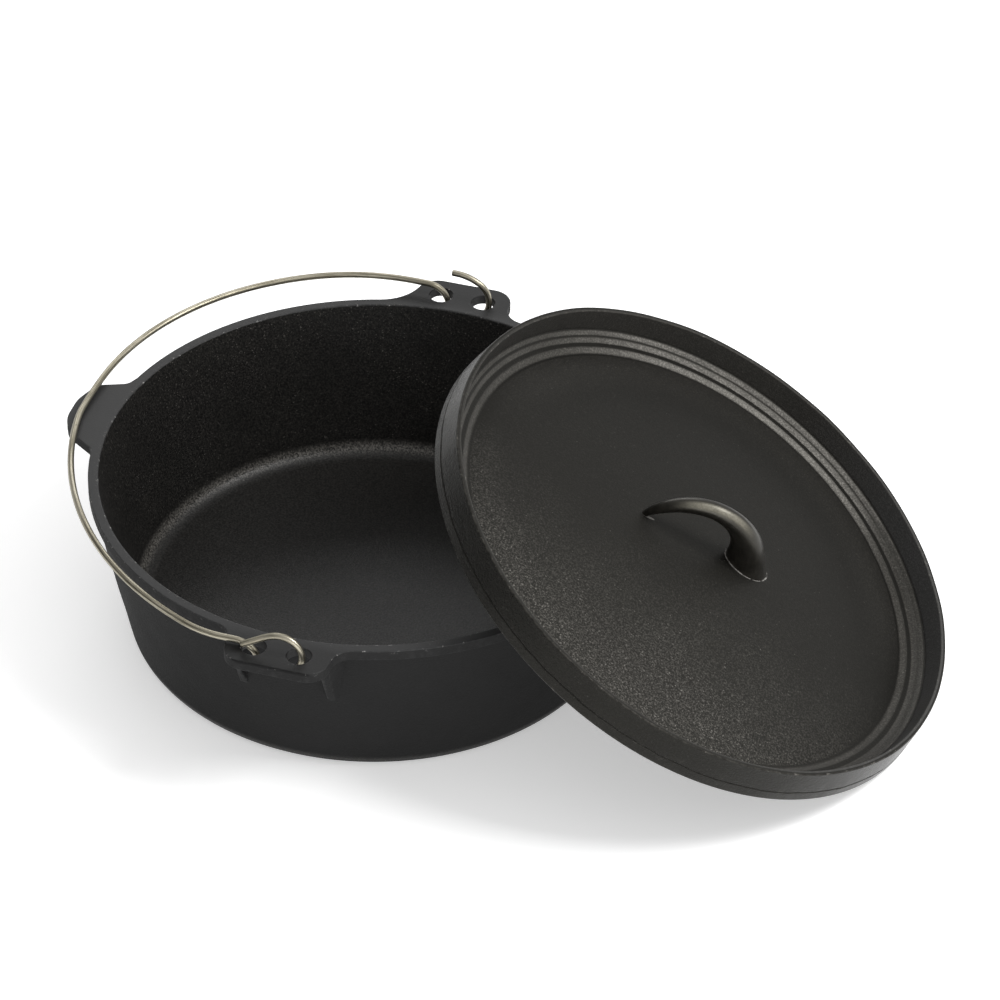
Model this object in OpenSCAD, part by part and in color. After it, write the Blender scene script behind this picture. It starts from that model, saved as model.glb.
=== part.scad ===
// Camp dutch oven, flat-bottomed, 12 inch size, in cast iron with a wire bail.
// Three loose pieces: the pot (one casting with two pierced ears and a plain
// tab), the lid (one casting with a coal lip and an arch handle) and the bail
// (one length of bent wire hooked through the ears).
// Origin at the centre of the pot's base, on the ground. +Z is up, the ears lie
// on the Y axis, the plain tab points to -X and the lid leans on the rim at +X.
// All sizes in millimetres.

/* [Pot] */
// Height of the pot, ground to rim
pot_h = 96.5; // [92:0.5:102]
// Outer radius of the flat rim face
rim_r = 155; // [152:0.5:158]
// Width of the flat rim face
rim_w = 5.4; // [4.5:0.1:7]
// Height of the thicker band below the rim
band_h = 6; // [4:0.5:10]
// How far the band stands out past the rim face
band_out = 0.3; // [0:0.1:1]
// Outer radius of the wall just above the base fillet
base_r = 136.6; // [132:0.2:140]
// Thickness of the side wall
wall_t = 5; // [4:0.1:6]
// Thickness of the floor
floor_t = 5.5; // [4:0.1:8]
// Fillet round the outside of the base
base_fillet = 8; // [5:0.5:10]
// Fillet between floor and wall inside
floor_fillet = 10; // [6:0.5:14]

/* [Ears and tab] */
// Distance from the pot's axis to the ear's outer edge
ear_reach = 176.5; // [174:0.5:180]
// Half the width of the near ear
ear_half = 28.5; // [27:0.5:30]
// Half the width of the far ear
far_ear_half = 27.2; // [26:0.2:30]
// Turn of the far ear about the pot's axis, in degrees
far_ear_turn = 0.25; // [0:0.05:0.5]
// Rounding of the ear's outer corners
ear_corner = 12; // [8:0.5:14]
// Thickness of the ears
ear_t = 5.8; // [5:0.2:6]
// Diameter of the bail holes
hole_d = 13.4; // [13.2:0.1:14]
// Distance between the two holes of an ear
hole_gap = 24.8; // [24.6:0.1:25]
// Sideways shift of the pair of holes on each ear
hole_mid = -1; // [-1.2:0.1:-0.8]
// Distance from the pot's axis to the line of the holes
hole_r = 162.8; // [162.4:0.1:163.2]
// Height of the ribs under the ears
rib_h = 35; // [20:1:40]
// Sideways shift of the pair of ribs under each ear
rib_mid = -1.7; // [-2:0.1:-1.4]
// Half the width of the plain tab
tab_half = 23.6; // [22:0.2:28]
// Thickness of the plain tab
tab_t = 5; // [4:0.2:6]
// Turn of the plain tab about the pot's axis, in degrees
tab_turn = -0.65; // [-1:0.05:0]
// Distance from the pot's axis to the tab's outer edge
tab_reach = 176; // [174:0.5:178]
// Rounding of the tab's outer corners
tab_corner = 16; // [10:0.5:18]

/* [Lid] */
// Outer radius at the lid's lower edge
lid_r = 155.4; // [153:0.2:157]
// Height of the coal lip's crest over the lower edge
lid_h = 20.8; // [18:0.2:24]
// Outer radius at the crest
crest_r = 153.2; // [151:0.2:153.6]
// Width of the lip at its crest
crest_w = 2.6; // [2:0.1:3.4]
// Height of the dome at the middle of the plate
dome_h = 14; // [12:0.2:16]
// Height of the plate at its edge
plate_h = 5.5; // [5:0.1:6]
// Thickness of the plate
plate_t = 5.2; // [4.6:0.1:5.4]
// Depth of the locating ring under the lid
ring_d = 4; // [2:0.2:4.4]
// Radius of the arch handle's centre line
arch_r = 32; // [28:0.5:34]
// Diameter of the arch handle's bar
arch_d = 10.4; // [9:0.2:12]
// Turn of the handle away from the line of the lean
arch_turn = 9; // [0:1:20]

/* [Lean of the lid] */
// Lean of the lid against the rim, in degrees
lean = 31; // [30.8:0.1:31]
// Bearing of the lean, in degrees from +X
lean_turn = 2; // [0:0.5:3]
// Distance of the lid's centre from the pot's axis
lean_x = 176; // [175.8:0.1:178]
// Sideways shift of the lid's centre
lean_y = -4.2; // [-6:0.2:0]

/* [Bail] */
// Diameter of the bail wire
wire_d = 3.6; // [3.2:0.1:3.8]
// Gap between the wire and the tab that it lies on
wire_gap = 0.45; // [0.45:0.05:0.8]
// Distance of the bow's middle from the pot's axis
bow_x = 168.5; // [168:0.1:169.4]

/* [Hidden] */
$fn = 96;

rim_in = rim_r - rim_w;
band_r = rim_r + band_out;
// slope of the wall, outside radius at a height z
wall_z0 = base_fillet - 1;
wall_z1 = pot_h - band_h - 2;
wall_top_r = rim_r - 1.8;
function wall_r(z) = base_r + (wall_top_r - base_r) * (z - wall_z0) / (wall_z1 - wall_z0);
in_low_r = wall_r(floor_t + floor_fillet) - wall_t * 1.02;
// points on a quarter-round, from angle a0 to a1 about a centre
function arc_pts(c, r, a0, a1, n = 8) = [for (i = [0:n]) let (a = a0 + (a1 - a0) * i / n) [c[0] + r * cos(a), c[1] + r * sin(a)]];

// outline of the pot's section, from the base centre round to the floor centre
pot_section = concat(
    [[0, 0], [base_r - base_fillet, 0]],
    arc_pts([base_r - base_fillet, base_fillet], base_fillet, -80, -12, 6),
    [[wall_r(wall_z0 + 2), wall_z0 + 2], [wall_r(wall_z1), wall_z1],
     [band_r - 0.2, pot_h - band_h], [band_r, pot_h - band_h + 1],
     [band_r, pot_h - 1], [rim_r - 0.3, pot_h],
     [rim_in + 0.5, pot_h], [rim_in, pot_h - 0.5],
     [in_low_r, floor_t + floor_fillet]],
    arc_pts([in_low_r - floor_fillet, floor_t + floor_fillet], floor_fillet, -12, -90, 6),
    [[0, floor_t]]);

// outline of a lug that grows from the rim: straight sides, round outer
// corners, and a concave fillet of radius f into the rim on each side
module lug_2d(half, reach, corner, f) {
    fy = sqrt(pow(rim_r + f, 2) - pow(half + f, 2));
    k = rim_r / (rim_r + f);
    difference() {
        union() {
            translate([-half, rim_in - 5]) square([2 * half, reach - corner - rim_in + 5]);
            translate([-half + corner, reach - corner - 1]) square([2 * (half - corner), corner + 1]);
            for (s = [-1, 1]) translate([s * (half - corner), reach - corner]) circle(corner);
            for (s = [0, 1]) mirror([s, 0]) difference() {
                polygon([[half - 2, rim_in - 5], [half - 2, fy], [half + f, fy], [(half + f) * k, fy * k], [(half + f) * k - 1.5, fy * k - 4]]);
                translate([half + f, fy]) circle(f);
            }
        }
        circle(rim_in + 1, $fn = 180);
    }
}

// tapered rib from the underside of an ear down the wall, on the +Y side: at the
// top it follows the ear's edge, and it narrows to its foot on the wall
module rib(s, half, mid) {
    z1 = pot_h - ear_t + 1;
    z0 = pot_h - ear_t - rib_h;
    xt = mid + s * 27.5;
    xb = mid + s * 23.9;
    // the wall's outside at the rib's foot and top, and the rib's reach
    y0 = sqrt(pow(wall_r(z0), 2) - xb * xb);
    y1 = sqrt(pow(wall_r(z1), 2) - xt * xt);
    out = ear_reach - 8;
    intersection() {
        translate([-50, 0, 0]) rotate([90, 0, 90]) linear_extrude(100)
            polygon([[y0 - 3, z0], [y0 + 0.6, z0], [out, z1 - 3], [out, z1], [y1 - 3, z1]]);
        translate([0, 200, 0]) rotate([90, 0, 0]) linear_extrude(80)
            polygon([[xb - 1.9, z0], [xb + 1.9, z0], [xt + 6.2, z1], [xt - 6.2, z1]]);
        mirror([s < 0 ? 1 : 0, 0, 0]) translate([0, 0, z0 - 1]) linear_extrude(rib_h + 3)
            polygon([[half - 15, rim_r - 35], [half - 15, out + 1], [half - 3, out + 1], [half - 0.4, rim_r + 3.5],
                [half + 2, rim_r], [half + 6, rim_r - 4.5], [half + 6, rim_r - 35]]);
    }
}

// the pot: bowl, two pierced ears with ribs, and one plain tab, all one casting
module pot() {
    color([0.20, 0.20, 0.20]) difference() {
        union() {
            rotate_extrude($fn = 180) polygon(pot_section);
            for (t = [[far_ear_turn, far_ear_half, 1], [180, ear_half, -1]]) rotate([0, 0, t[0]]) {
                translate([0, 0, pot_h - ear_t]) linear_extrude(ear_t) lug_2d(t[1], ear_reach, ear_corner, 12);
                for (s = [-1, 1]) rib(s, t[1], t[2] * rib_mid);
            }
            rotate([0, 0, 90 + tab_turn]) translate([0, 0, pot_h - tab_t]) linear_extrude(tab_t) lug_2d(tab_half, tab_reach, tab_corner, 12);
        }
        for (sx = [-1, 1]) for (sy = [-1, 1])
            translate([hole_mid + sx * hole_gap / 2, sy * hole_r, pot_h - ear_t - 20]) cylinder(d = hole_d, h = 40, $fn = 64);
    }
}

// dome of the lid's plate: height over the lower edge at a radius
dome_rim = 133;
function dome(r) = plate_h + (dome_h - plate_h) * (1 - pow(r / dome_rim, 2));
lid_low = lid_r - 0.7;
pad_r = 46;
pad_z = 4.4;

// outline of the lid's section, from the underside's centre out, up the side,
// over the lip, down the two ring steps and back over the dome
lid_section = concat(
    [[0, pad_z], [pad_r, pad_z], [pad_r + 2.5, dome(pad_r + 2.5) - plate_t]],
    [for (r = [60:12:132]) [r, dome(r) - plate_t]],
    [[139, 0.2], [143, -ring_d], [146.2, -ring_d], [147, -0.3], [147.6, 0],
     [lid_low, 0], [lid_r, 0.8], [crest_r + 0.1, lid_h - 0.7], [crest_r - 0.6, lid_h],
     [crest_r - crest_w + 0.5, lid_h], [crest_r - crest_w, lid_h - 0.6],
     [148.2, 8.4], [146.8, 7.3], [142, 7], [140.8, 6], [136, 6.2], [134.6, plate_h]],
    [for (r = [dome_rim:-19:0]) [r, dome(r)]]);

// height of the lid's centre for which its lower edge stands on the ground
lean_z = lid_low * sin(lean) + 0.05;

// the lid: domed plate with coal lip, ring steps, locating ring and arch handle
module lid() {
    color([0.19, 0.19, 0.17]) translate([lean_x, lean_y, lean_z]) rotate([0, 0, lean_turn]) rotate([0, lean, 0]) union() {
        rotate_extrude($fn = 180) polygon(lid_section);
        translate([0, 0, 7]) rotate([90, 0, arch_turn]) rotate_extrude(angle = 180, $fn = 64)
            translate([arch_r, 0]) circle(d = arch_d, $fn = 32);
    }
}

// One length of wire, bent like a wire former bends it. Each entry of a path is
// [length] for a straight run or [radius, angle, roll] for a bend; roll 0 bends
// to the left, 180 to the right, 90 up and -90 down, as seen along the wire.
// Each run stops just short of the next, inside a ball of nearly the wire's own
// size, so that neighbouring runs join in one solid.
joint_d = wire_d + 0.3;
joint_gap = 0.2;
module wire_run(path, i = 0) {
    if (i < len(path)) {
        s = path[i];
        if (i > 0) sphere(d = joint_d, $fn = 24);
        if (len(s) == 1) {
            translate([joint_gap, 0, 0]) rotate([0, 90, 0]) cylinder(d = wire_d, h = s[0] - 2 * joint_gap, $fn = 24);
            translate([s[0], 0, 0]) wire_run(path, i + 1);
        } else rotate([s[2], 0, 0]) {
            trim = joint_gap / s[0] * 180 / PI;
            translate([0, s[0], 0]) rotate([0, 0, trim - 90]) rotate_extrude(angle = s[1] - 2 * trim, $fn = 180)
                translate([s[0], 0]) circle(d = wire_d, $fn = 24);
            translate([0, s[0], 0]) rotate([0, 0, s[1]]) translate([0, -s[0], 0]) rotate([-s[2], 0, 0]) wire_run(path, i + 1);
        }
    }
}

// far half: bow, straight, down through the first hole, across under the ear, up
// through the second hole, and an open hook
far_half = [[327, 5, 180], [150.2, 60, 180], [118.8, 25, 180], [9.6], [12, 90, -90],
    [7, 90, 90], [5], [12, 90, 90], [2.6], [13, 56, 90], [25, 38, 90]];
// near half: bow, down through the first hole, across, up through the second, and
// a hook that comes back over the ear to end just outside the bow
near_half = [[60, 9, 0], [195.9, 57.4, 0], [58.3, 23.6, 0], [5.5], [14, 50, -90], [5.6, 40, -90],
    [7, 90, 90], [6], [12, 90, 90], [11.5, 90, 90], [14, 22, 90], [20, 16, 180], [11.5]];
// slow rise of each half from the middle of the bow to its ear, in degrees
far_rise = 1.5;
near_rise = 0.2;

// the bail: both halves start from one ball at the middle of the bow, over the tab
module bail() {
    color([0.66, 0.64, 0.57]) translate([-bow_x, 0, pot_h + wire_gap + wire_d / 2]) union() {
        sphere(d = joint_d, $fn = 24);
        rotate([0, 0, 90]) rotate([0, -far_rise, 0]) wire_run(far_half);
        rotate([0, 0, -90]) rotate([0, -near_rise, 0]) wire_run(near_half);
    }
}

pot();
lid();
bail();
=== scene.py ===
import math

import bmesh
import bpy
import numpy as np
from mathutils import Matrix, Vector


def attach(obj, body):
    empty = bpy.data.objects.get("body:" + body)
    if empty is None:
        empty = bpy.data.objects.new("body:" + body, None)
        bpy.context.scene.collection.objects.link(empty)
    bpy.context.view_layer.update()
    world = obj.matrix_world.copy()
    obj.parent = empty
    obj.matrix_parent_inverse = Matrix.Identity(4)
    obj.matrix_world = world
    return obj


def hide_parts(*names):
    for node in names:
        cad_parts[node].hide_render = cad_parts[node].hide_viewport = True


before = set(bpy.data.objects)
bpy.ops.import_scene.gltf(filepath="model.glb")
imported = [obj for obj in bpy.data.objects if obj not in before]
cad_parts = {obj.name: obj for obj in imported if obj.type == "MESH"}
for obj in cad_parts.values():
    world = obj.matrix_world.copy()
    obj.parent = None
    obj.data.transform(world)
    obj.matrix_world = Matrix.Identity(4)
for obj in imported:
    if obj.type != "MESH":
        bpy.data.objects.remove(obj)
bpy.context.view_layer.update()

scene = bpy.context.scene
MM = 0.001

# ---------------------------------------------------------------- camera

# A long lens at the photograph's distance and angle, over a 1000 x 1000 frame.
UNIT = 0.155
DIST, ELEV = 18.2774, 0.6879
YAW, PITCH, ROLL = 0.031, 0.6673, 0.012
FOCAL_PX = 5117.33
TURN = math.radians(18.2186)


def make_camera():
    sy, cy, sp, cp = math.sin(YAW), math.cos(YAW), math.sin(PITCH), math.cos(PITCH)
    fwd = Vector((sy * cp, cy * cp, -sp))
    right = Vector((cy, -sy, 0.0))
    up = right.cross(fwd)
    r2 = math.cos(ROLL) * right + math.sin(ROLL) * up
    u2 = -math.sin(ROLL) * right + math.cos(ROLL) * up
    spin = Matrix.Rotation(TURN, 4, "Z")
    at = spin @ (UNIT * DIST * Vector((0.0, -math.cos(ELEV), math.sin(ELEV))))
    x, y, z = spin @ r2, spin @ u2, spin @ -fwd
    data = bpy.data.cameras.new("camera")
    data.sensor_fit = "HORIZONTAL"
    data.sensor_width = 36.0
    data.lens = FOCAL_PX * 36.0 / 1000.0
    data.clip_start, data.clip_end = 0.05, 50.0
    data.dof.use_dof = False
    cam = bpy.data.objects.new("camera", data)
    scene.collection.objects.link(cam)
    cam.matrix_world = Matrix(((x.x, y.x, z.x, at.x), (x.y, y.y, z.y, at.y), (x.z, y.z, z.z, at.z), (0, 0, 0, 1)))
    scene.camera = cam


make_camera()

# ---------------------------------------------------------------- mesh helpers


def ripple(a, b, seed, waves=14, low=3, high=34, slope=0.25):
    """Smooth unevenness of a sand casting, about -1 to 1, periodic in the angle a; b in millimetres."""
    rng = np.random.default_rng(seed)
    total = np.zeros(np.broadcast(a, b).shape)
    for _ in range(waves):
        total = total + np.cos(rng.integers(low, high) * a + rng.uniform(-slope, slope) * b + rng.uniform(0, 2 * math.pi))
    return total / math.sqrt(waves * 2)


def skin(rows, first=None, last=None):
    """Quads over closed rings of equal length, with a fan to a pole at either end."""
    n = len(rows[0])
    verts = np.concatenate(rows).tolist()
    ahead = [(j + 1) % n for j in range(n)]
    faces = []
    for i in range(len(rows) - 1):
        a, b = i * n, (i + 1) * n
        faces += [(a + j, a + ahead[j], b + ahead[j], b + j) for j in range(n)]
    if first is not None:
        faces += [(len(verts), ahead[j], j) for j in range(n)]
        verts.append(list(first))
    if last is not None:
        a = (len(rows) - 1) * n
        faces += [(len(verts), a + j, a + ahead[j]) for j in range(n)]
        verts.append(list(last))
    return verts, faces


def mesh_object(name, verts, faces, place=None):
    """An object from millimetre points; place is a matrix in millimetres that is written into the mesh."""
    v = np.array(verts, float)
    if place is not None:
        m = np.array(place)
        v = v @ m[:3, :3].T + m[:3, 3]
    mesh = bpy.data.meshes.new(name)
    mesh.from_pydata((v * MM).tolist(), [], faces)
    mesh.update()
    obj = bpy.data.objects.new(name, mesh)
    scene.collection.objects.link(obj)
    return obj


def combine(obj, other, operation):
    """Boolean of two closed meshes; the second one is used up."""
    mod = obj.modifiers.new("combine", "BOOLEAN")
    mod.operation, mod.solver, mod.object = operation, "EXACT", other
    dg = bpy.context.evaluated_depsgraph_get()
    made = bpy.data.meshes.new_from_object(obj.evaluated_get(dg))
    obj.modifiers.clear()
    old, obj.data = obj.data, made
    made.name = obj.name
    bpy.data.meshes.remove(old)
    gone = other.data
    bpy.data.objects.remove(other)
    bpy.data.meshes.remove(gone)


def rounded(points, step=14.0):
    """A polyline of (x, y, radius) corners as points, with an arc at each corner that has a radius."""
    out = []
    for i, (x, y, rad) in enumerate(points):
        p = np.array([x, y], float)
        if rad <= 0 or i in (0, len(points) - 1):
            out.append(p)
            continue
        a, b = np.array(points[i - 1][:2]) - p, np.array(points[i + 1][:2]) - p
        la, lb = np.linalg.norm(a), np.linalg.norm(b)
        a, b = a / la, b / lb
        half = math.acos(max(-1.0, min(1.0, float(a @ b)))) / 2
        if half > math.pi / 2 - 0.02:
            out.append(p)
            continue
        cut = min(rad / math.tan(half), 0.48 * la, 0.48 * lb)
        rad = cut * math.tan(half)
        mid = p + (a + b) / np.linalg.norm(a + b) * rad / math.sin(half)
        p0, p1 = p + a * cut, p + b * cut
        a0 = math.atan2(*(p0 - mid)[::-1])
        sweep = (math.atan2(*(p1 - mid)[::-1]) - a0 + math.pi) % (2 * math.pi) - math.pi
        n = max(2, math.ceil(abs(math.degrees(sweep)) / step))
        out += [mid + rad * np.array([math.cos(a0 + sweep * k / n), math.sin(a0 + sweep * k / n)]) for k in range(n + 1)]
    return np.array(out)


def finish_mesh(obj, sharp=40.0):
    """Smooth shading that keeps flat faces flat, and a point attribute that is 1 on rounded outer edges."""
    mesh = obj.data
    bm = bmesh.new()
    bm.from_mesh(mesh)
    bmesh.ops.dissolve_degenerate(bm, dist=1e-7, edges=bm.edges[:])
    worn = np.zeros(len(bm.verts))
    bm.verts.ensure_lookup_table()
    bm.verts.index_update()
    for e in bm.edges:
        if len(e.link_faces) == 2:
            a = e.calc_face_angle_signed(0.0)
            if a > 0:
                w = min(1.0, max(0.0, (math.degrees(a) - 6.0) / 10.0))
                for v in e.verts:
                    worn[v.index] = max(worn[v.index], w)
    bm.to_mesh(mesh)
    bm.free()
    layer = mesh.attributes.new("edge", "FLOAT", "POINT")
    layer.data.foreach_set("value", worn.astype(np.float32))
    mesh.polygons.foreach_set("use_smooth", np.ones(len(mesh.polygons), bool))
    mesh.set_sharp_from_angle(angle=math.radians(sharp))
    flat = obj.modifiers.new("flat_faces", "WEIGHTED_NORMAL")
    flat.mode, flat.weight, flat.keep_sharp = "FACE_AREA", 50, True
    mesh.update()


# ---------------------------------------------------------------- pot

POT_H, BAND_R, RIM_IN = 96.5, 155.3, 149.6


def wall_out(z):
    return 136.6 + 16.6 * (z - 7.0) / 81.5


def wall_in(z):
    return 133.2 + 16.4 * (z - 15.5) / 80.5


def lug_flank(half, reach, corner, fillet):
    """One side of an ear, from the rim out to the middle of its edge: concave fillet, straight side, round corner."""
    cx, cy = half - corner, reach - corner
    fx, fy = half + fillet, math.sqrt((BAND_R + fillet) ** 2 - (half + fillet) ** 2)
    meet = 0.0
    if fy > cy:
        # no room for a straight side: the fillet runs straight into the corner
        d, ra, rb = math.hypot(cx, cy), BAND_R + fillet, corner + fillet
        along = (d * d + ra * ra - rb * rb) / (2 * d)
        off = math.sqrt(ra * ra - along * along)
        fx, fy = (along * cx + off * cy) / d, (along * cy - off * cx) / d
        meet = math.atan2(fy - cy, fx - cx)
    pts = [(fx + fillet * math.cos(a), fy + fillet * math.sin(a)) for a in np.linspace(math.atan2(fy, fx) + math.pi, meet + math.pi, 15)]
    if meet == 0.0:
        pts += [(half, y) for y in np.linspace(fy, cy, 4)[1:-1]]
    pts += [(cx + corner * math.cos(a), cy + corner * math.sin(a)) for a in np.linspace(meet, math.pi / 2, 15)]
    pts += [(x, reach) for x in np.linspace(cx, 0, 7)[1:]]
    return np.array(pts)


def ear_line(half, reach, corner, fillet_right, fillet_left):
    right, left = lug_flank(half, reach, corner, fillet_right), lug_flank(half, reach, corner, fillet_left)
    return np.concatenate([right, left[-2::-1] * [-1, 1]])


def tab_line():
    """The plain tab: sides that draw in, a slightly bowed end, one soft root and one sharp one."""
    line = [(37.5, math.sqrt(BAND_R ** 2 - 37.5 ** 2), 0), (30.8, 153.7, 7.0), (24.4, 169.8, 8.0), (9.0, 175.3, 22.0), (-8.0, 175.3, 22.0),
            (-19.8, 169.6, 11.0), (-29.9, 153.2, 3.0), (-34.5, math.sqrt(BAND_R ** 2 - 34.5 ** 2), 0)]
    return rounded(line, 7.0)


def pot_outline():
    """Angles round the pot, with the flange's outer radius and thickness at each."""
    lugs = [(math.radians(90.25), ear_line(27.2, 176.5, 12.0, 12.0, 26.0), 5.8),
            (math.radians(180.0), tab_line(), 5.0),
            (math.radians(270.0), ear_line(28.5, 176.5, 12.0, 12.0, 12.0), 5.8)]
    ang, rad, thick = [], [], []
    start = 0.0
    for mid, line, t in lugs:
        a, r = np.arctan2(-line[:, 0], line[:, 1]), np.hypot(line[:, 0], line[:, 1])
        keep = np.concatenate([[True], np.diff(np.maximum.accumulate(a)) > 1e-5])
        a, r = a[keep], np.maximum(r[keep], BAND_R)
        gap = mid + a[0] - start
        n = max(2, round(math.degrees(gap)))
        for k in range(n):
            ang.append(start + gap * k / n)
            rad.append(BAND_R)
            thick.append(6.0)
        grow = np.clip((r - BAND_R - 0.2) / 3.0, 0, 1)
        ang += (mid + a[:-1]).tolist()
        rad += r[:-1].tolist()
        thick += (6.0 + (t - 6.0) * grow * grow * (3 - 2 * grow))[:-1].tolist()
        start = mid + a[-1]
    gap = 2 * math.pi - start
    n = round(math.degrees(gap))
    for k in range(n):
        ang.append(start + gap * k / n)
        rad.append(BAND_R)
        thick.append(6.0)
    return np.array(ang), np.array(rad), np.array(thick)


def pot_bowl():
    ang, out_r, thick = pot_outline()
    c, s = np.cos(ang), np.sin(ang)
    n = len(ang)

    def ring(r, z):
        r, z = np.broadcast_to(r, n), np.broadcast_to(z, n)
        return np.column_stack([r * c, r * s, z])

    def fade(z, lo, hi):
        return max(0.0, min(1.0, (z - lo) / 6.0, (hi - z) / 6.0))

    rows = [ring(r, 0.0) for r in (25, 55, 85, 108, 120, 126.5)]
    for a in np.radians(np.linspace(-90, -11.5, 11)):
        rows.append(ring(128.6 + 8 * math.cos(a), 8 + 8 * math.sin(a)))
    for z in np.linspace(9.5, 84.0, 24):
        rows.append(ring(wall_out(z) + 0.13 * fade(z, 8, 86) * ripple(ang, z, 5), z))
    # under the flange: a fillet into the wall, then the lower and the upper edge
    under = POT_H - thick
    fil = np.clip((out_r - 0.7 - wall_out(under)) * 0.75, 0.5, 3.2)
    for a in np.radians(np.linspace(0, 90, 7)):
        rows.append(ring(wall_out(under - fil) + fil * (1 - math.cos(a)), under - fil + fil * math.sin(a)))
    low, high, inner = 0.6, 0.6, 0.9
    rows.append(ring(np.maximum(out_r - low - 0.5, wall_out(under - fil) + fil + 0.05), under))
    for a in np.radians(np.linspace(-90, 0, 5)):
        rows.append(ring(out_r - low + low * math.cos(a), under + low + low * math.sin(a)))
    for a in np.radians(np.linspace(0, 90, 7)):
        rows.append(ring(out_r - high + high * math.cos(a), POT_H - high + high * math.sin(a)))
    a0, a1 = out_r - high - 0.4, RIM_IN + inner + 0.4
    for k in (0.0, 0.4, 0.75, 1.0):
        rows.append(ring(a0 + (a1 - a0) * k, POT_H))
    for a in np.radians(np.linspace(90, 180, 7)):
        rows.append(ring(RIM_IN + inner + inner * math.cos(a), POT_H - inner + inner * math.sin(a)))
    for z in np.linspace(93.5, 17.5, 25):
        rows.append(ring(wall_in(z) - 0.12 * fade(z, 15, 96) * ripple(ang, z, 8), z))
    for a in np.radians(np.linspace(-6, -90, 12)):
        rows.append(ring(123.2 + 10 * math.cos(a), 15.5 + 10 * math.sin(a)))
    for r in (117, 107, 95, 80, 63, 46, 30, 15):
        rows.append(ring(r, 5.5 + 0.05 * ripple(ang, r, 11, low=2, high=9) * min(1.0, r / 60.0)))
    return skin(rows, (0, 0, 0), (0, 0, 5.5))


def hole_cutters():
    """Round cutters for the four bail holes, flared so that the hole's rims come out rounded."""
    verts, faces = [], []
    e, r, top, under = 0.5, 6.6, POT_H, POT_H - 5.8
    prof = [(r + e + 0.02, top + 4.0), (r + e + 0.02, top + 0.01)]
    prof += [(r + e - e * math.sin(a), top - e + e * math.cos(a)) for a in np.radians(np.linspace(0, 90, 7))]
    prof += [(r + e - e * math.cos(a), under + e - e * math.sin(a)) for a in np.radians(np.linspace(0, 80, 6))]
    prof += [(r + 0.05, under - 0.6), (r + 0.05, under - 20.0)]
    ang = np.radians(np.arange(0, 360, 6.0))
    for hx in (-13.4, 11.4):
        for hy in (-162.8, 162.8):
            rows = [np.column_stack([hx + pr * np.cos(ang), hy + pr * np.sin(ang), np.full(len(ang), pz)]) for pr, pz in prof[::-1]]
            v, f = skin(rows, (hx, hy, prof[-1][1]), (hx, hy, prof[0][1]))
            base = len(verts)
            verts += v
            faces += [tuple(base + i for i in q) for q in f]
    return verts, faces


def ribs():
    """Gussets under both ears: at the top each follows the ear's edge, and it narrows to its foot on the wall."""
    verts, faces = [], []
    z0, z1 = 54.0, 91.6
    for turn, half, mid in ((0.25, 27.2, -1.7), (180.0, 28.5, 1.7)):
        t = math.radians(turn)
        for s in (-1, 1):
            rows = []
            for k in np.linspace(0, 1, 19):
                z = z0 + (z1 - z0) * k
                kk = min(1.0, k / 0.93)
                foot = mid * s + 23.9
                wall = wall_out(z)
                # plan at this height, on the +x side: inner flank, front that follows the ear's corner, outer flank
                ya = math.sqrt(wall_out(z0) ** 2 - foot ** 2) + 0.1
                root = math.sqrt(wall ** 2 - foot ** 2) - 2.8
                front = (foot - 1.9 + (24.4 + 0.4 * mid * s - foot + 1.9) * k, ya + (168.8 - ya) * kk)
                corner = (foot + 2.1 + (half - 0.9 - foot - 2.1) * k, ya - 0.2 + (161.8 - ya) * kk)
                knee = (foot + 3.0 + (half + 1.0 - foot - 3.0) * k, ya - 0.8 + (156.4 - ya) * kk)
                outer = foot + 4.6 + (half + 6.0 - foot - 4.6) * k
                plan = [(front[0] - 0.6, root, 0), (*front, 1.0), (*corner, 1.2), (*knee, 3.0), (outer, math.sqrt(wall ** 2 - outer ** 2) - 1.6, 0)]
                line = rounded(plan, 12.0)
                d = np.concatenate([[0], np.cumsum(np.linalg.norm(np.diff(line, axis=0), axis=1))])
                even = np.linspace(0, d[-1], 41)
                px, py = np.interp(even, d, line[:, 0]), np.interp(even, d, line[:, 1])
                px = s * px
                if s > 0:
                    px, py = px[::-1], py[::-1]
                rows.append(np.column_stack([px * math.cos(t) - py * math.sin(t), px * math.sin(t) + py * math.cos(t), np.full(len(px), z)]))
            v, f = skin(rows, rows[0].mean(axis=0), rows[-1].mean(axis=0))
            base = len(verts)
            verts += v
            faces += [tuple(base + i for i in q) for q in f]
    return verts, faces


pot = mesh_object("pot_casting", *pot_bowl())
combine(pot, mesh_object("ribs", *ribs()), "UNION")
combine(pot, mesh_object("cutters", *hole_cutters()), "DIFFERENCE")
finish_mesh(pot)

# ---------------------------------------------------------------- lid

LEAN, LEAN_TURN = math.radians(31.0), math.radians(2.0)
LID_AT = (176.0, -4.2, 154.7 * math.sin(LEAN) + 0.05)
LID_PLACE = Matrix.Translation(LID_AT) @ Matrix.Rotation(LEAN_TURN, 4, "Z") @ Matrix.Rotation(LEAN, 4, "Y")


def dome(r):
    return 14.0 - 11.6 * (r / 133.0) ** 1.6


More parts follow.
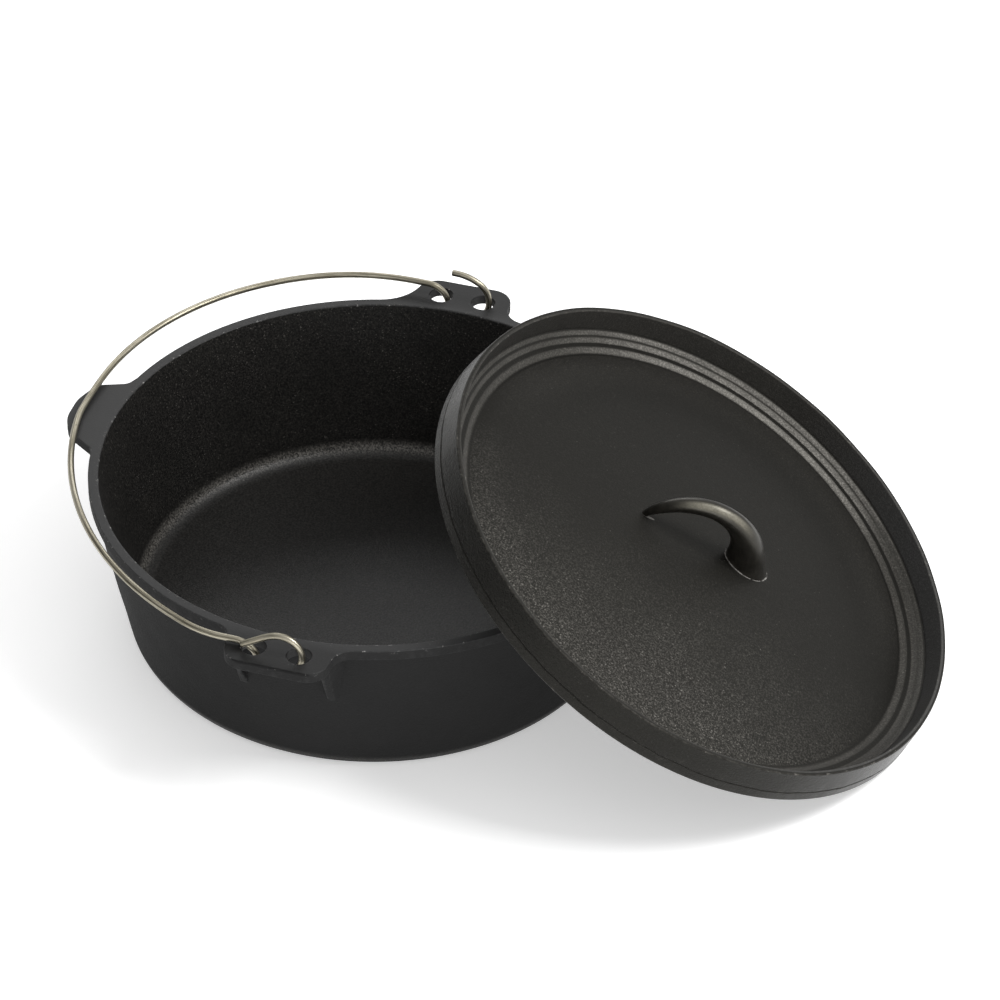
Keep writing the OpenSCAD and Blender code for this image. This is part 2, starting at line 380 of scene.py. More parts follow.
def lid_disc():
    ang = np.radians(np.arange(0, 360, 0.9))
    c, s = np.cos(ang), np.sin(ang)
    below = [(20, 4.4, 0), (46, 4.4, 1.2), (48.5, dome(48.5) - 4.6, 1.2)]
    below += [(r, dome(r) - 4.6, 0) for r in range(60, 133, 12)]
    below += [(139, -2.4, 2.0), (143, -4, 1.0), (146.3, -4, 0.9), (147.1, 0, 0.7)]
    side = [(155.45, 0, 0.9), (155.0, 5.8, 0.4), (154.5, 6.4, 0.2), (154.85, 7.0, 0.4), (153.25, 20.8, 0.75), (150.55, 20.8, 0.7)]
    steps = [(148.7, 7.4, 1.0), (147.7, 7.0, 0.9), (146.3, 5.4, 0.9), (144.6, 4.9, 1.2), (142.6, 3.2, 1.0), (139.6, 3.0, 1.6), (136.6, 1.4, 1.8)]
    line = rounded(below + side + steps + [(129, dome(129), 0), (120, dome(120), 0)])
    # long straight runs get rows between, so that the unevenness below has points to move
    pts = [line[0]]
    for p in line[1:]:
        gap = np.linalg.norm(p - pts[-1])
        n = max(1, math.ceil(gap / 6.0)) if p[0] > 60 else 1
        q = pts[-1]
        pts += [q + (p - q) * (k + 1) / n for k in range(n)]
    for r in (108, 96, 84, 72, 60, 50, 42, 34, 26, 18, 10, 5):
        pts.append(np.array([r, dome(r)]))
    rows = []
    for r, z in pts:
        lip = min(1.0, max(0.0, (r - 147.5) / 3.0)) * min(1.0, max(0.0, z / 6.0))
        rr = r + 0.16 * lip * ripple(ang, z * 0.6, 21, low=4, high=30)
        zz = z + 0.2 * min(1.0, max(0.0, (z - 8.0) / 12.0)) * (r > 148) * ripple(ang, 0.0, 23, low=3, high=26)
        if 134 < r < 149 and 0.5 < z < 8:
            rr = rr + 0.12 * ripple(ang, r * 0.3, 29, low=8, high=60)
            zz = zz + 0.05 * ripple(ang, r * 0.4, 31, low=8, high=60)
        # ragged parting line round the side
        if r > 153.5 and 5.2 < z < 7.6:
            zz = zz + 0.22 * ripple(ang, 0.0, 37, low=10, high=90)
            rr = rr + 0.10 * ripple(ang, z, 41, low=20, high=110)
        rows.append(np.column_stack([rr * c, rr * s, np.broadcast_to(zz, len(ang))]))
    return skin(rows, (0, 0, 4.4), (0, 0, 14.0))


def arch_handle():
    """The cast arch: a bar that thickens from its thin uphill end to a flared downhill foot."""
    turn = math.radians(9.0)
    eu, ev, ez = np.array([math.cos(turn), math.sin(turn), 0]), np.array([-math.sin(turn), math.cos(turn), 0]), np.array([0, 0, 1.0])
    deg = [0, 8, 13, 18, 24, 32, 45, 60, 80, 100, 125, 150, 168, 180]
    far = [45.4, 43.1, 41.6, 40.2, 39.2, 38.4, 37.8, 37.5, 37.2, 36.9, 36.6, 36.2, 35.9, 35.9]
    near = [15.8, 16.6, 17.1, 17.5, 17.8, 18.2, 19.8, 22.9, 26.0, 27.3, 27.9, 29.4, 31.8, 32.9]
    wide = [10.2, 9.7, 9.2, 8.7, 8.2, 7.6, 6.8, 6.1, 5.4, 5.0, 4.5, 3.5, 2.3, 1.6]
    egg = [0.1, 0.1, 0.12, 0.15, 0.18, 0.2, 0.16, 0.08, 0, 0, 0, 0, 0, 0]
    sway = [4.0, 3.9, 3.8, 3.5, 3.1, 2.4, 1.4, 0.6, 0, 0, 0.2, 0.9, 2.0, 2.4]
    ring = np.radians(np.arange(0, 360, 9.0))
    phis = np.concatenate([np.linspace(0, 40, 25), np.linspace(43, 180, 40)])

    def along(values):
        v = np.interp(phis, deg, values)
        for _ in range(3):
            v[1:-1] = (v[:-2] + 2 * v[1:-1] + v[2:]) / 4
        return v

    rows, mids = [], []
    for phi, ro, ri, b, off, e in zip(np.radians(phis), along(far), along(near), along(wide), along(sway), along(egg)):
        rho = math.cos(phi) * eu + math.sin(phi) * ez
        mid = (ro + ri) / 2 * rho + off * ev + 7.0 * ez
        mids.append(mid)
        rows.append(mid + np.outer((ro - ri) / 2 * np.cos(ring), rho) + np.outer(b * np.sin(ring) * (1 + e * np.cos(ring)), ev))
    return skin(rows, mids[0], mids[-1])


lid = mesh_object("lid_casting", *lid_disc(), LID_PLACE)
combine(lid, mesh_object("arch", *arch_handle(), LID_PLACE), "UNION")
finish_mesh(lid, 50.0)

# ---------------------------------------------------------------- bail

WIRE_R = 1.8
BOW = np.array([-168.5, 0.0, 98.75])
# straight runs [length] and bends [radius, angle, roll], as the wire is formed
FAR_HALF = [[327, 5, 180], [150.2, 60, 180], [118.8, 25, 180], [9.6], [12, 90, -90],
            [7, 90, 90], [5], [12, 90, 90], [2.6], [13, 56, 90], [25, 38, 90]]
NEAR_HALF = [[60, 9, 0], [195.9, 57.4, 0], [58.3, 23.6, 0], [5.5], [14, 50, -90], [5.6, 40, -90],
             [7, 90, 90], [6], [12, 90, 90], [11.5, 90, 90], [14, 22, 90], [20, 16, 180], [11.5]]


def turn(axis, degrees):
    return np.array(Matrix.Rotation(math.radians(degrees), 3, axis))


def wire_line(path, heading):
    at, pts = BOW.copy(), [BOW.copy()]
    for step in path:
        if len(step) == 1:
            n = math.ceil(step[0] / 2.0)
            pts += [at + heading @ np.array([step[0] * k / n, 0, 0]) for k in range(1, n + 1)]
        else:
            radius, angle, roll = step
            frame_ = heading @ turn("X", roll)
            n = max(math.ceil(angle / 6.0), math.ceil(radius * math.radians(angle) / 2.5))
            for k in range(1, n + 1):
                a = math.radians(angle * k / n)
                pts.append(at + frame_ @ np.array([radius * math.sin(a), radius * (1 - math.cos(a)), 0]))
            heading = frame_ @ turn("Z", angle) @ turn("X", -roll)
        at = pts[-1]
    return pts


def bail_wire():
    near = wire_line(NEAR_HALF, turn("Z", -90) @ turn("Y", -0.2))
    far = wire_line(FAR_HALF, turn("Z", 90) @ turn("Y", -1.5))
    line = np.array(near[::-1] + far[1:])
    # one pass evens out the slight kinks where runs meet
    line[1:-1] = (line[:-2] + 6 * line[1:-1] + line[2:]) / 8
    along = np.concatenate([[0], np.cumsum(np.linalg.norm(np.diff(line, axis=0), axis=1))])
    tang = np.gradient(line, axis=0)
    tang /= np.linalg.norm(tang, axis=1)[:, None]
    side = np.cross(tang[0], [0.3, 0.2, 0.93])
    side /= np.linalg.norm(side)
    ring = np.radians(np.arange(0, 360, 18.0))
    rows, facts = [], []

    def add(mid, t, radius, length):
        b = np.cross(t, side)
        rows.append(mid + radius * (np.outer(np.cos(ring), side) + np.outer(np.sin(ring), b)))
        facts.append(np.column_stack([np.cos(ring), np.sin(ring), np.full(len(ring), length)]))

    # sheared ends: a nearly flat face with a broken edge
    for inset, radius in ((0.0, 1.25), (0.12, 1.62), (0.4, WIRE_R)):
        add(line[0] + inset * tang[0], tang[0], radius, inset)
    for i in range(1, len(line) - 1):
        side = side - (side @ tang[i]) * tang[i]
        side /= np.linalg.norm(side)
        add(line[i], tang[i], WIRE_R, along[i])
    for inset, radius in ((0.4, WIRE_R), (0.12, 1.62), (0.0, 1.25)):
        add(line[-1] - inset * tang[-1], tang[-1], radius, along[-1] - inset)
    verts, faces = skin(rows, line[0] - 0.05 * tang[0], line[-1] + 0.05 * tang[-1])
    facts = np.concatenate(facts + [[[0, 0, 0]], [[0, 0, along[-1]]]])
    return verts, faces, facts


verts, faces, facts = bail_wire()
bail = mesh_object("bail_wire", verts, faces)
layer = bail.data.attributes.new("wire", "FLOAT_VECTOR", "POINT")
layer.data.foreach_set("vector", facts.astype(np.float32).ravel())
bail.data.polygons.foreach_set("use_smooth", np.ones(len(bail.data.polygons), bool))
bail.data.set_sharp_from_angle(angle=math.radians(50))

# ---------------------------------------------------------------- materials


class Nodes:
    """A material under construction, with short forms for the nodes used here."""

    def __init__(self, name):
        self.mat = bpy.data.materials.new(name)
        self.mat.use_nodes = True
        self.tree = self.mat.node_tree
        self.tree.nodes.clear()
        out = self.add("ShaderNodeOutputMaterial")
        self.bsdf = self.add("ShaderNodeBsdfPrincipled")
        self.tree.links.new(self.bsdf.outputs[0], out.inputs[0])

    def add(self, kind, **props):
        node = self.tree.nodes.new(kind)
        for key, value in props.items():
            setattr(node, key, value)
        return node

    def put(self, socket, value):
        if isinstance(value, bpy.types.NodeSocket):
            self.tree.links.new(value, socket)
        else:
            socket.default_value = value

    def math(self, op, a, b=0.0, c=0.0):
        node = self.add("ShaderNodeMath", operation=op)
        for socket, value in zip(node.inputs, (a, b, c)):
            self.put(socket, value)
        return node.outputs[0]

    def mul(self, *values):
        out = values[0]
        for v in values[1:]:
            out = self.math("MULTIPLY", out, v)
        return out

    def band(self, x, lo, hi, a=0.0, b=1.0):
        node = self.add("ShaderNodeMapRange", interpolation_type="SMOOTHSTEP")
        for socket, value in zip(node.inputs, (x, lo, hi, a, b)):
            self.put(socket, value)
        return node.outputs[0]

    def noise(self, vec, scale, detail=3.0, rough=0.55, distort=0.0):
        node = self.add("ShaderNodeTexNoise")
        self.put(node.inputs["Vector"], vec)
        for key, value in (("Scale", scale), ("Detail", detail), ("Roughness", rough), ("Distortion", distort)):
            node.inputs[key].default_value = value
        return node.outputs["Fac"]

    def cells(self, vec, scale, feature="F1"):
        node = self.add("ShaderNodeTexVoronoi", feature=feature)
        self.put(node.inputs["Vector"], vec)
        node.inputs["Scale"].default_value = scale
        return node.outputs["Distance"], node.outputs["Color"]

    def parts(self, vec):
        node = self.add("ShaderNodeSeparateXYZ")
        self.put(node.inputs[0], vec)
        return node.outputs[0], node.outputs[1], node.outputs[2]

    def mix(self, fac, a, b):
        node = self.add("ShaderNodeMix", data_type="RGBA")
        self.put(node.inputs[0], fac)
        for socket, value in ((node.inputs[6], a), (node.inputs[7], b)):
            self.put(socket, value if isinstance(value, bpy.types.NodeSocket) else (*value, 1.0))
        return node.outputs[2]

    def blend(self, fac, a, b):
        node = self.add("ShaderNodeMix", data_type="FLOAT")
        for socket, value in ((node.inputs[0], fac), (node.inputs[2], a), (node.inputs[3], b)):
            self.put(socket, value)
        return node.outputs[0]

    def bump(self, height, distance, strength=1.0, normal=None):
        node = self.add("ShaderNodeBump")
        self.put(node.inputs["Strength"], strength)
        node.inputs["Distance"].default_value = distance
        self.put(node.inputs["Height"], height)
        if normal is not None:
            self.put(node.inputs["Normal"], normal)
        return node.outputs[0]


def grey(v, warm=0.0):
    return (v * (1 + warm), v, v * (1 - 1.6 * warm))


def iron_pot():
    m = Nodes("seasoned_iron_pot")
    co = m.add("ShaderNodeTexCoord").outputs["Object"]
    x, y, z = m.parts(co)
    r = m.math("SQRT", m.math("ADD", m.math("MULTIPLY", x, x), m.math("MULTIPLY", y, y)))
    edge = m.add("ShaderNodeAttribute", attribute_name="edge").outputs["Fac"]
    # where: ground top faces, which also carry painted light; the inside; the floor inside; the turn of the floor into
    # the wall, which carries a painted highlight
    top = m.band(z, 0.0957, 0.0963)
    lean = m.math("SUBTRACT", r, m.math("MULTIPLY", z, 0.2037))
    inside = m.mul(m.band(lean, 0.1312, 0.1336, 1.0, 0.0), m.band(z, 0.003, 0.005))
    floor = m.mul(m.band(z, 0.0056, 0.0085, 1.0, 0.0), m.band(z, 0.003, 0.005))
    turn_painted_highlight = m.mul(inside, m.band(z, 0.0062, 0.0092), m.band(z, 0.0092, 0.0150, 1.0, 0.0))
    flange = m.mul(m.band(z, 0.0900, 0.0912), m.band(r, 0.1540, 0.1548))
    hx = m.math("MINIMUM", m.math("ABSOLUTE", m.math("ADD", x, 0.0134)), m.math("ABSOLUTE", m.math("SUBTRACT", x, 0.0114)))
    hy = m.math("SUBTRACT", m.math("ABSOLUTE", y), 0.1628)
    around = m.math("SQRT", m.math("ADD", m.math("MULTIPLY", hx, hx), m.math("MULTIPLY", hy, hy)))
    hole_wall_painted_light = m.mul(m.band(around, 0.0067, 0.0070, 1.0, 0.0), m.band(z, 0.0900, 0.0910))
    # texture: pebbled sand-cast skin under the seasoning
    peb, peb_id = m.cells(co, 900.0)
    fine = m.noise(co, 1500.0, 3.0, 0.6)
    grain = m.noise(co, 950.0, 2.0, 0.6)
    speck = m.band(grain, 0.32, 0.74)
    sand = m.band(m.noise(co, 1000.0, 2.0, 0.65), 0.34, 0.74)
    mid = m.noise(co, 260.0, 4.0, 0.6)
    wide = m.noise(co, 26.0, 4.0, 0.6)
    patch = m.noise(co, 9.0, 2.0, 0.5)
    # painted glints: bright specks on the inside walls, more of them higher up
    inside_painted_glints = m.mul(m.band(grain, 0.62, 0.74), m.band(m.math("ADD", wide, m.mul(m.band(z, 0.03, 0.09), 0.12)), 0.34, 0.66))
    chip = m.mul(edge, m.band(m.noise(co, 330.0, 3.0, 0.65), 0.60, 0.70), m.band(z, 0.094, 0.0952))
    rub = m.mul(edge, m.band(mid, 0.42, 0.68))
    # a dark matte line along the outer top edge of the ears
    line = m.mul(m.band(m.math("ABSOLUTE", y), 0.1752, 0.1758), m.band(z, 0.0950, 0.0956), m.band(mid, 0.30, 0.45))
    body = m.mix(wide, grey(0.005), grey(0.009))
    body = m.mix(m.mul(speck, 0.35), body, grey(0.014))
    body = m.mix(m.mul(inside, 0.95), body, m.mix(sand, grey(0.0015, 0.05), m.mix(wide, grey(0.013, 0.07), grey(0.024, 0.07))))
    body = m.mix(m.mul(floor, 0.95), body, m.mix(speck, grey(0.006, 0.05), grey(0.024, 0.05)))
    body = m.mix(m.mul(flange, 0.6), body, grey(0.014))
    # painted light: the walls of the bail holes painted lighter against the shade in the holes
    body = m.mix(m.mul(hole_wall_painted_light, 0.8), body, grey(0.050))
    # painted light: the top faces lighter than the walls, and the rim ring and tab lighter than the ears, for how the
    # light falls on them; partly the ground faces' own tone
    body = m.mix(top, body, m.mix(m.band(m.math("ABSOLUTE", y), 0.148, 0.158), m.mix(wide, grey(0.018), grey(0.026)), m.mix(wide, grey(0.007), grey(0.012))))
    body = m.mix(m.mul(inside, inside_painted_glints, m.math("SUBTRACT", 1.0, floor), 0.8), body, grey(0.10, 0.06))
    # painted highlight: a bright ring where the floor turns into the wall
    body = m.mix(m.mul(turn_painted_highlight, 0.9), body, m.mix(speck, grey(0.010, 0.06), grey(0.125, 0.06)))
    body = m.mix(m.mul(rub, 0.30), body, grey(0.06))
    body = m.mix(m.mul(line, 0.7), body, grey(0.002))
    body = m.mix(m.mul(chip, 0.9), body, grey(0.30, 0.02))
    m.put(m.bsdf.inputs["Base Color"], body)
    rough = m.blend(fine, 0.72, 0.90)
    rough = m.blend(inside, rough, m.blend(fine, 0.46, 0.60))
    rough = m.blend(turn_painted_highlight, rough, 0.36)
    rough = m.blend(top, rough, m.blend(fine, 0.46, 0.56))
    rough = m.blend(floor, rough, m.blend(patch, 0.38, 0.48))
    rough = m.blend(line, rough, 0.8)
    m.put(m.bsdf.inputs["Roughness"], rough)
    m.bsdf.inputs["Specular IOR Level"].default_value = 0.22
    soft = m.math("SUBTRACT", 1.0, m.mul(top, 0.75))
    height = m.math("ADD", m.mul(m.math("SUBTRACT", 1.0, peb), 0.5), m.mul(grain, 0.5))
    n1 = m.bump(mid, 0.00025, m.mul(soft, 0.5))
    m.put(m.bsdf.inputs["Normal"], m.bump(height, 0.00030, m.mul(soft, 0.6), n1))
    return m.mat


def iron_lid():
    m = Nodes("seasoned_iron_lid")
    obj = m.add("ShaderNodeTexCoord").outputs["Object"]
    # the lid's own frame: its axis is z, and x runs down the lean
    own = m.add("ShaderNodeMapping", vector_type="TEXTURE")
    m.put(own.inputs["Vector"], obj)
    own.inputs["Location"].default_value = tuple(v * MM for v in LID_AT)
    own.inputs["Rotation"].default_value = (0.0, LEAN, LEAN_TURN)
    co = own.outputs[0]
    x, y, z = m.parts(co)
    r = m.math("SQRT", m.math("ADD", m.math("MULTIPLY", x, x), m.math("MULTIPLY", y, y)))
    edge = m.add("ShaderNodeAttribute", attribute_name="edge").outputs["Fac"]
    crown = m.math("SUBTRACT", 0.014, m.mul(m.math("POWER", m.math("DIVIDE", r, 0.133), 1.6), 0.0116))
    above = m.band(m.math("SUBTRACT", z, crown), -0.0030, -0.0020)
    plate = m.mul(m.band(r, 0.1340, 0.1356, 1.0, 0.0), above)
    rings = m.mul(m.band(r, 0.1340, 0.1356), m.band(r, 0.1480, 0.1488, 1.0, 0.0), above)
    # the steps' own slopes, painted lighter as highlight lines, brighter on the lid's far side
    slope1 = m.mul(m.band(r, 0.1352, 0.1374), m.band(r, 0.1386, 0.1404, 1.0, 0.0))
    slope2 = m.mul(m.band(r, 0.1420, 0.1430), m.band(r, 0.1440, 0.1454, 1.0, 0.0))
    slope3 = m.mul(m.band(r, 0.1458, 0.1467), m.band(r, 0.1474, 0.1484, 1.0, 0.0))
    slope_painted_highlight = m.mul(m.math("MAXIMUM", m.math("MAXIMUM", slope1, slope2), slope3), above, m.band(z, 0.0080, 0.0095, 1.0, 0.0))
    lip = m.mul(m.band(r, 0.1480, 0.1486), m.band(r, 0.1516, 0.1520, 1.0, 0.0), m.band(z, 0.0072, 0.0090))
    arch = m.mul(m.band(z, 0.0143, 0.0156), m.band(r, 0.06, 0.07, 1.0, 0.0))
    outer = m.mul(m.band(r, 0.1520, 0.1526), m.band(z, 0.0198, 0.0204, 1.0, 0.0))
    # the pebbled skin is coarser towards the near side of the plate and its uphill edge; the bright specks in that
    # zone are painted glints
    uphill = m.mul(m.band(r, 0.102, 0.130), m.band(x, -0.080, 0.0, 1.0, 0.0), m.band(y, -0.02, 0.03, 1.0, 0.0))
    lower = m.math("ADD", m.math("MULTIPLY", y, -6.4), m.mul(uphill, 0.24))
    wide = m.noise(co, 24.0, 4.0, 0.6)
    patch = m.noise(co, 10.0, 3.0, 0.5)
    coarse_skin_and_glints = m.mul(plate, m.band(m.math("ADD", lower, m.math("MULTIPLY", m.math("SUBTRACT", wide, 0.5), 0.45)), 0.05, 1.0))
    peb, peb_id = m.cells(co, 950.0)
    fine = m.noise(co, 1600.0, 3.0, 0.6)
    grain = m.noise(co, 1050.0, 2.0, 0.6)
    speck = m.band(grain, 0.40, 0.73)
    mid = m.noise(co, 300.0, 4.0, 0.6)
    bare = m.math("SUBTRACT", 1.0, arch)
    glint = m.mul(m.band(grain, m.blend(coarse_skin_and_glints, 0.74, 0.63), m.blend(coarse_skin_and_glints, 0.82, 0.73)), above, bare)
    chip = m.mul(edge, m.band(m.noise(co, 330.0, 3.0, 0.65), 0.58, 0.70), bare)
    rub = m.mul(edge, m.band(mid, 0.36, 0.62), bare)
    body = m.mix(speck, grey(0.003, 0.07), m.mix(patch, grey(0.006, 0.07), grey(0.010, 0.07)))
    body = m.mix(m.mul(coarse_skin_and_glints, 0.95), body, m.mix(speck, grey(0.003, 0.06), grey(0.074, 0.06)))
    # painted light: the plate painted lighter towards its edge on the far side
    far_edge_painted_light = m.mul(plate, m.band(r, 0.104, 0.128), m.band(y, 0.0, 0.06))
    body = m.mix(m.mul(far_edge_painted_light, 0.8), body, m.mix(speck, grey(0.010, 0.06), grey(0.022, 0.06)))
    # painted shade: the grooves and ledges between the ring lines painted a little darker
    body = m.mix(m.mul(rings, 0.8), body, grey(0.004, 0.06))
    # painted light: the slopes on the far side of the lid painted lighter than on the near side
    far = m.band(y, 0.080, 0.138)
    body = m.mix(m.mul(slope_painted_highlight, m.band(wide, 0.25, 0.60, 0.6, 1.0)), body, m.mix(far, m.mix(speck, grey(0.024, 0.06), grey(0.055, 0.06)), m.mix(speck, grey(0.080, 0.05), grey(0.190, 0.05))))
    # painted light: one ledge between the rings painted lighter on the downhill side
    downhill_ledge_painted_light = m.mul(m.band(r, 0.1430, 0.1440), m.band(r, 0.1468, 0.1476, 1.0, 0.0), m.band(x, 0.05, 0.13), above)
    body = m.mix(m.mul(downhill_ledge_painted_light, 0.8), body, m.mix(speck, grey(0.018, 0.05), grey(0.040, 0.05)))
    # painted light: the inner wall of the lip painted lighter, and lighter again on the downhill side
    body = m.mix(m.mul(lip, 0.8), body, m.mix(m.band(x, 0.02, 0.13), m.mix(speck, grey(0.018, 0.05), grey(0.030, 0.05)), m.mix(speck, grey(0.040, 0.01), grey(0.060, 0.01))))
    body = m.mix(m.mul(outer, 0.8), body, m.mix(speck, grey(0.002, 0.03), grey(0.008, 0.03)))
    body = m.mix(m.mul(arch, 0.8), body, grey(0.007, 0.08))
    # a light line round the near side of the handle's downhill foot, and a light spot by its uphill end
    u = m.math("ADD", m.mul(x, math.cos(math.radians(9))), m.mul(y, math.sin(math.radians(9))))
    v = m.math("SUBTRACT", m.mul(y, math.cos(math.radians(9))), m.mul(x, math.sin(math.radians(9))))
    cu = m.math("DIVIDE", m.math("SUBTRACT", u, 0.0298), 0.01338)
    cv = m.math("DIVIDE", m.math("SUBTRACT", v, 0.00385), 0.00947)
    oval = m.math("SQRT", m.math("ADD", m.math("MULTIPLY", cu, cu), m.math("MULTIPLY", cv, cv)))
    seam = m.mul(m.band(oval, 1.03, 1.08, 1.0, 0.0), m.band(oval, 0.80, 0.90), m.band(v, 0.0040, 0.0070, 1.0, 0.0), m.band(mid, 0.36, 0.54), plate)
    eu = m.math("DIVIDE", m.math("ADD", u, 0.0312), 0.0034)
    ev = m.math("DIVIDE", m.math("SUBTRACT", v, 0.0003), 0.0008)
    uphill_end_spot = m.math("SQRT", m.math("ADD", m.math("MULTIPLY", eu, eu), m.math("MULTIPLY", ev, ev)))
    seam = m.math("MAXIMUM", seam, m.mul(m.band(uphill_end_spot, 0.8, 1.1, 1.0, 0.0), plate, 0.8))
    body = m.mix(m.mul(seam, 0.85), body, grey(0.26, 0.04))
    body = m.mix(m.mul(glint, 0.8), body, grey(0.22, 0.05))
    body = m.mix(m.mul(rub, above, 0.40), body, grey(0.060, 0.06))
    body = m.mix(m.mul(chip, above, 0.5), body, grey(0.20, 0.06))
    m.put(m.bsdf.inputs["Base Color"], body)
    rough = m.blend(fine, 0.42, 0.58)
    rough = m.blend(m.mul(rings, 0.8), rough, m.blend(fine, 0.40, 0.50))
    rough = m.blend(outer, rough, m.blend(fine, 0.22, 0.34))
    rough = m.blend(arch, rough, m.blend(mid, 0.22, 0.30))
    m.put(m.bsdf.inputs["Roughness"], rough)
    m.bsdf.inputs["Specular IOR Level"].default_value = 0.20
    m.bsdf.inputs["Specular Tint"].default_value = (1.0, 0.97, 0.86, 1.0)
    soft = m.math("MAXIMUM", m.mul(m.math("SUBTRACT", 1.0, plate), 0.7), m.blend(coarse_skin_and_glints, 0.25, 1.0))
    soft = m.mul(soft, m.blend(arch, 1.0, 0.4))
    height = m.math("ADD", m.mul(m.math("SUBTRACT", 1.0, peb), 0.45), m.mul(grain, 0.55))
    n1 = m.bump(mid, 0.00028, m.mul(soft, 0.5))
    m.put(m.bsdf.inputs["Normal"], m.bump(height, 0.00034, m.mul(soft, 0.7), n1))
    return m.mat


def iron_handle():
    """The same iron, worn to a satin by hands and lifters, with a highlight painted along the crest."""
    m = Nodes("seasoned_iron_handle")
    obj = m.add("ShaderNodeTexCoord").outputs["Object"]
    mid = m.noise(obj, 300.0, 4.0, 0.6)
    wide = m.noise(obj, 90.0, 3.0, 0.55)
    fine = m.noise(obj, 1100.0, 3.0, 0.6)
    body = m.mix(m.band(mid, 0.30, 0.70), grey(0.004, 0.10), grey(0.010, 0.10))
    body = m.mix(m.mul(m.band(fine, 0.66, 0.76), m.band(wide, 0.45, 0.70), 0.6), body, grey(0.060, 0.08))
    # the strip along the crest painted bright: partly rubbed wear, mostly a painted highlight; u runs along the arch,
    # v across it
    own = m.add("ShaderNodeMapping", vector_type="TEXTURE")
    m.put(own.inputs["Vector"], obj)
    own.inputs["Location"].default_value = tuple(v * MM for v in LID_AT)
    own.inputs["Rotation"].default_value = (0.0, LEAN, LEAN_TURN)
    x, y, z = m.parts(own.outputs[0])
    u = m.math("ADD", m.mul(x, math.cos(math.radians(9))), m.mul(y, math.sin(math.radians(9))))
    v = m.math("SUBTRACT", m.mul(y, math.cos(math.radians(9))), m.mul(x, math.sin(math.radians(9))))
    up = m.math("SUBTRACT", z, 0.007)
    bow = m.math("SQRT", m.math("ADD", m.math("MULTIPLY", u, u), m.math("MULTIPLY", up, up)))
    worn = m.mul(m.band(v, -0.0050, -0.0034), m.band(v, -0.0024, -0.0002, 1.0, 0.0), m.band(bow, 0.0325, 0.0352),
                 m.band(u, -0.028, -0.012), m.band(u, 0.004, 0.022, 1.0, 0.0))
    body = m.mix(m.mul(worn, m.band(mid, 0.25, 0.65, 0.65, 1.0)), body, m.mix(fine, (0.085, 0.079, 0.062), (0.230, 0.217, 0.176)))
    m.put(m.bsdf.inputs["Base Color"], body)
    m.put(m.bsdf.inputs["Roughness"], m.math("ADD", m.blend(mid, 0.28, 0.38), m.mul(m.math("SUBTRACT", fine, 0.5), 0.12)))
    m.bsdf.inputs["Specular IOR Level"].default_value = 0.42
    m.bsdf.inputs["Specular Tint"].default_value = (1.0, 0.96, 0.84, 1.0)
    n1 = m.bump(wide, 0.0005, 0.25)
    m.put(m.bsdf.inputs["Normal"], m.bump(fine, 0.00016, 0.35, n1))
    return m.mat


def plated_wire():
    m = Nodes("plated_wire")
    co = m.add("ShaderNodeTexCoord").outputs["Object"]
    wire = m.add("ShaderNodeAttribute", attribute_name="wire").outputs["Vector"]
    # draw marks run along the wire: fine round it, slow along it
    scale = m.add("ShaderNodeMapping")
    m.put(scale.inputs["Vector"], wire)
    scale.inputs["Scale"].default_value = (1.0, 1.0, 0.012)
    draw = m.noise(scale.outputs[0], 2.2, 4.0, 0.65)
    lines = m.noise(scale.outputs[0], 7.0, 3.0, 0.7)
    spots = m.noise(co, 420.0, 3.0, 0.6)
    wide = m.noise(co, 30.0, 2.0, 0.5)
    tone = m.mix(m.band(draw, 0.34, 0.66), (0.140, 0.125, 0.088), (0.46, 0.43, 0.345))
    tone = m.mix(m.mul(m.band(lines, 0.54, 0.66), 0.6), tone, (0.085, 0.075, 0.052))
    tone = m.mix(m.mul(m.band(spots, 0.62, 0.74), m.band(wide, 0.45, 0.65), 0.6), tone, (0.10, 0.088, 0.068))
    m.put(m.bsdf.inputs["Base Color"], tone)
    m.bsdf.inputs["Metallic"].default_value = 1.0
    m.put(m.bsdf.inputs["Roughness"], m.blend(draw, 0.32, 0.46))
    m.put(m.bsdf.inputs["Normal"], m.bump(m.math("ADD", lines, m.mul(spots, 0.4)), 0.00006, 0.5))
    return m.mat


def pale_floor():
    m = Nodes("pale_floor")
    co = m.add("ShaderNodeTexCoord").outputs["Object"]
    m.put(m.bsdf.inputs["Base Color"], m.mix(m.noise(co, 3.0, 2.0), (0.88, 0.88, 0.88), (0.90, 0.90, 0.90)))
    m.bsdf.inputs["Roughness"].default_value = 0.95
    m.bsdf.inputs["Specular IOR Level"].default_value = 0.0
    # a softly lit table
    m.bsdf.inputs["Emission Color"].default_value = (1.0, 1.0, 1.0, 1.0)
    m.bsdf.inputs["Emission Strength"].default_value = 0.40
    return m.mat


for obj, body, node, slot, mat in (
    (pot, "pot", "pot", "seasoned_iron", iron_pot()),
    (lid, "lid", "lid", "seasoned_iron", iron_lid()),
    (bail, "bail", "bail", "wire", plated_wire()),
):
    obj.data.materials.clear()
    obj.data.materials.append(mat)
    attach(obj, body)
    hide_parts(node)

# the arch takes the worn satin finish with its painted highlight: its faces are those that stand above the plate
lid.data.materials.append(iron_handle())
back = np.array(LID_PLACE.inverted())
for face in lid.data.polygons:
    at = back[:3, :3] @ (np.array(face.center) / MM) + back[:3, 3]
    reach = math.hypot(at[0], at[1])
    if reach < 62.0 and at[2] > dome(reach) + 0.03:
        face.material_index = 1

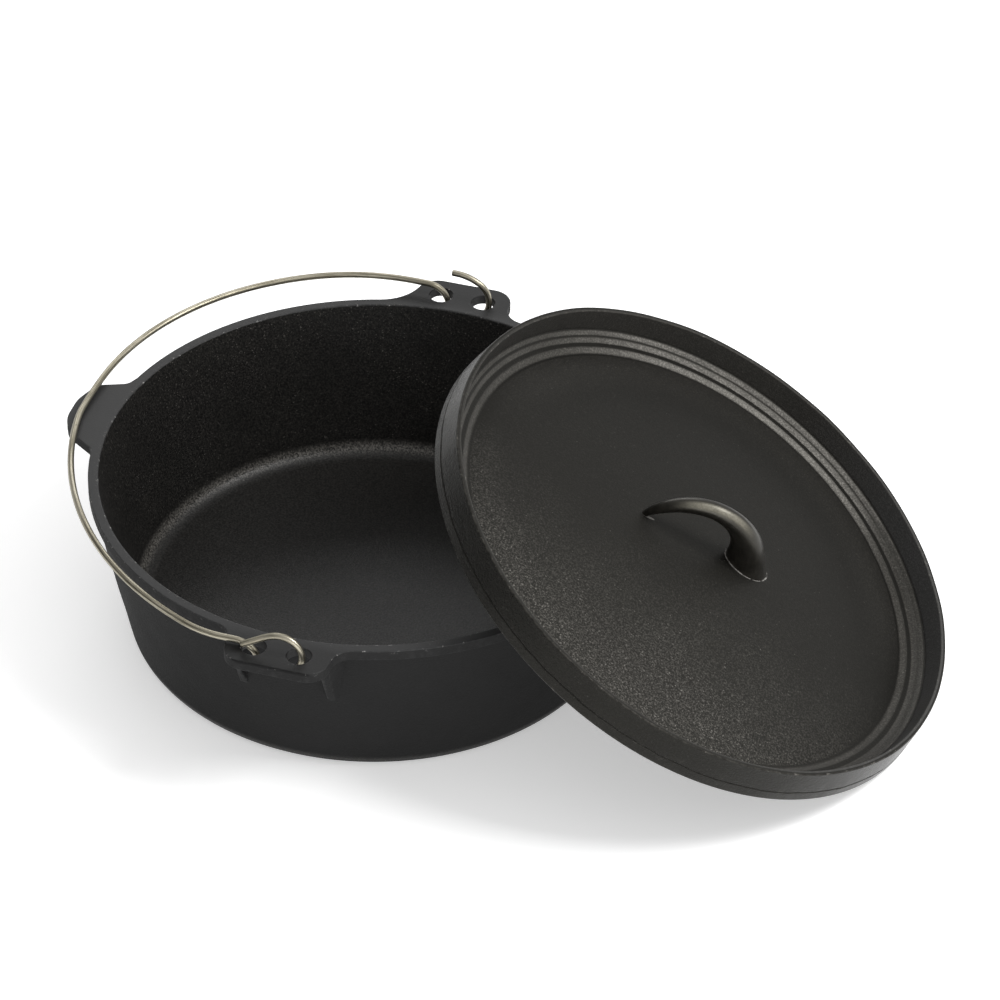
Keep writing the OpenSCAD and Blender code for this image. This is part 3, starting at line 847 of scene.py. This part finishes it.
# ---------------------------------------------------------------- floor and light

half = 6.0
floor = mesh_object("floor", [(-half * 1000, -half * 1000, 0), (half * 1000, -half * 1000, 0), (half * 1000, half * 1000, 0), (-half * 1000, half * 1000, 0)], [(0, 1, 2, 3)])
floor.data.materials.append(pale_floor())
floor.location.z = -0.0003


def area_light(name, at, target, size, power, colour=(1, 1, 1)):
    data = bpy.data.lights.new(name, "AREA")
    data.shape, data.size, data.size_y = "RECTANGLE", *size
    data.energy, data.color = power, colour
    obj = bpy.data.objects.new(name, data)
    scene.collection.objects.link(obj)
    obj.location = at
    obj.rotation_euler = (Vector(target) - Vector(at)).to_track_quat("-Z", "Y").to_euler()
    return obj


area_light("key", (1.35, 0.05, 1.65), (0.08, 0.0, 0.05), (0.75, 0.75), 32.0)
area_light("front_low", (0.85, -1.95, 0.22), (0.02, -0.12, 0.06), (1.4, 0.4), 9.0)
area_light("back_left", (-0.42, 1.05, 0.78), (-0.05, 0.05, 0.09), (0.8, 0.4), 2.8)

world = bpy.data.worlds.new("studio")
world.use_nodes = True
world.node_tree.nodes["Background"].inputs[0].default_value = (1.0, 1.0, 1.0, 1.0)
# the room is dimmer low down on the left
wn = world.node_tree
aim = wn.nodes.new("ShaderNodeVectorMath")
aim.operation = "DOT_PRODUCT"
wn.links.new(wn.nodes.new("ShaderNodeTexCoord").outputs["Generated"], aim.inputs[0])
aim.inputs[1].default_value = Vector((-0.93, -0.35, 0.10)).normalized()
dim = wn.nodes.new("ShaderNodeMapRange")
dim.interpolation_type = "SMOOTHSTEP"
for key, value in (("From Min", 0.30), ("From Max", 0.95), ("To Min", 0.80), ("To Max", 0.20)):
    dim.inputs[key].default_value = value
wn.links.new(aim.outputs["Value"], dim.inputs["Value"])
wn.links.new(dim.outputs["Result"], wn.nodes["Background"].inputs[1])
scene.world = world
scene.view_settings.view_transform = "Standard"
scene.view_settings.look = "None"
scene.view_settings.exposure = 0.0
scene.view_settings.gamma = 1.0

bpy.context.view_layer.update()
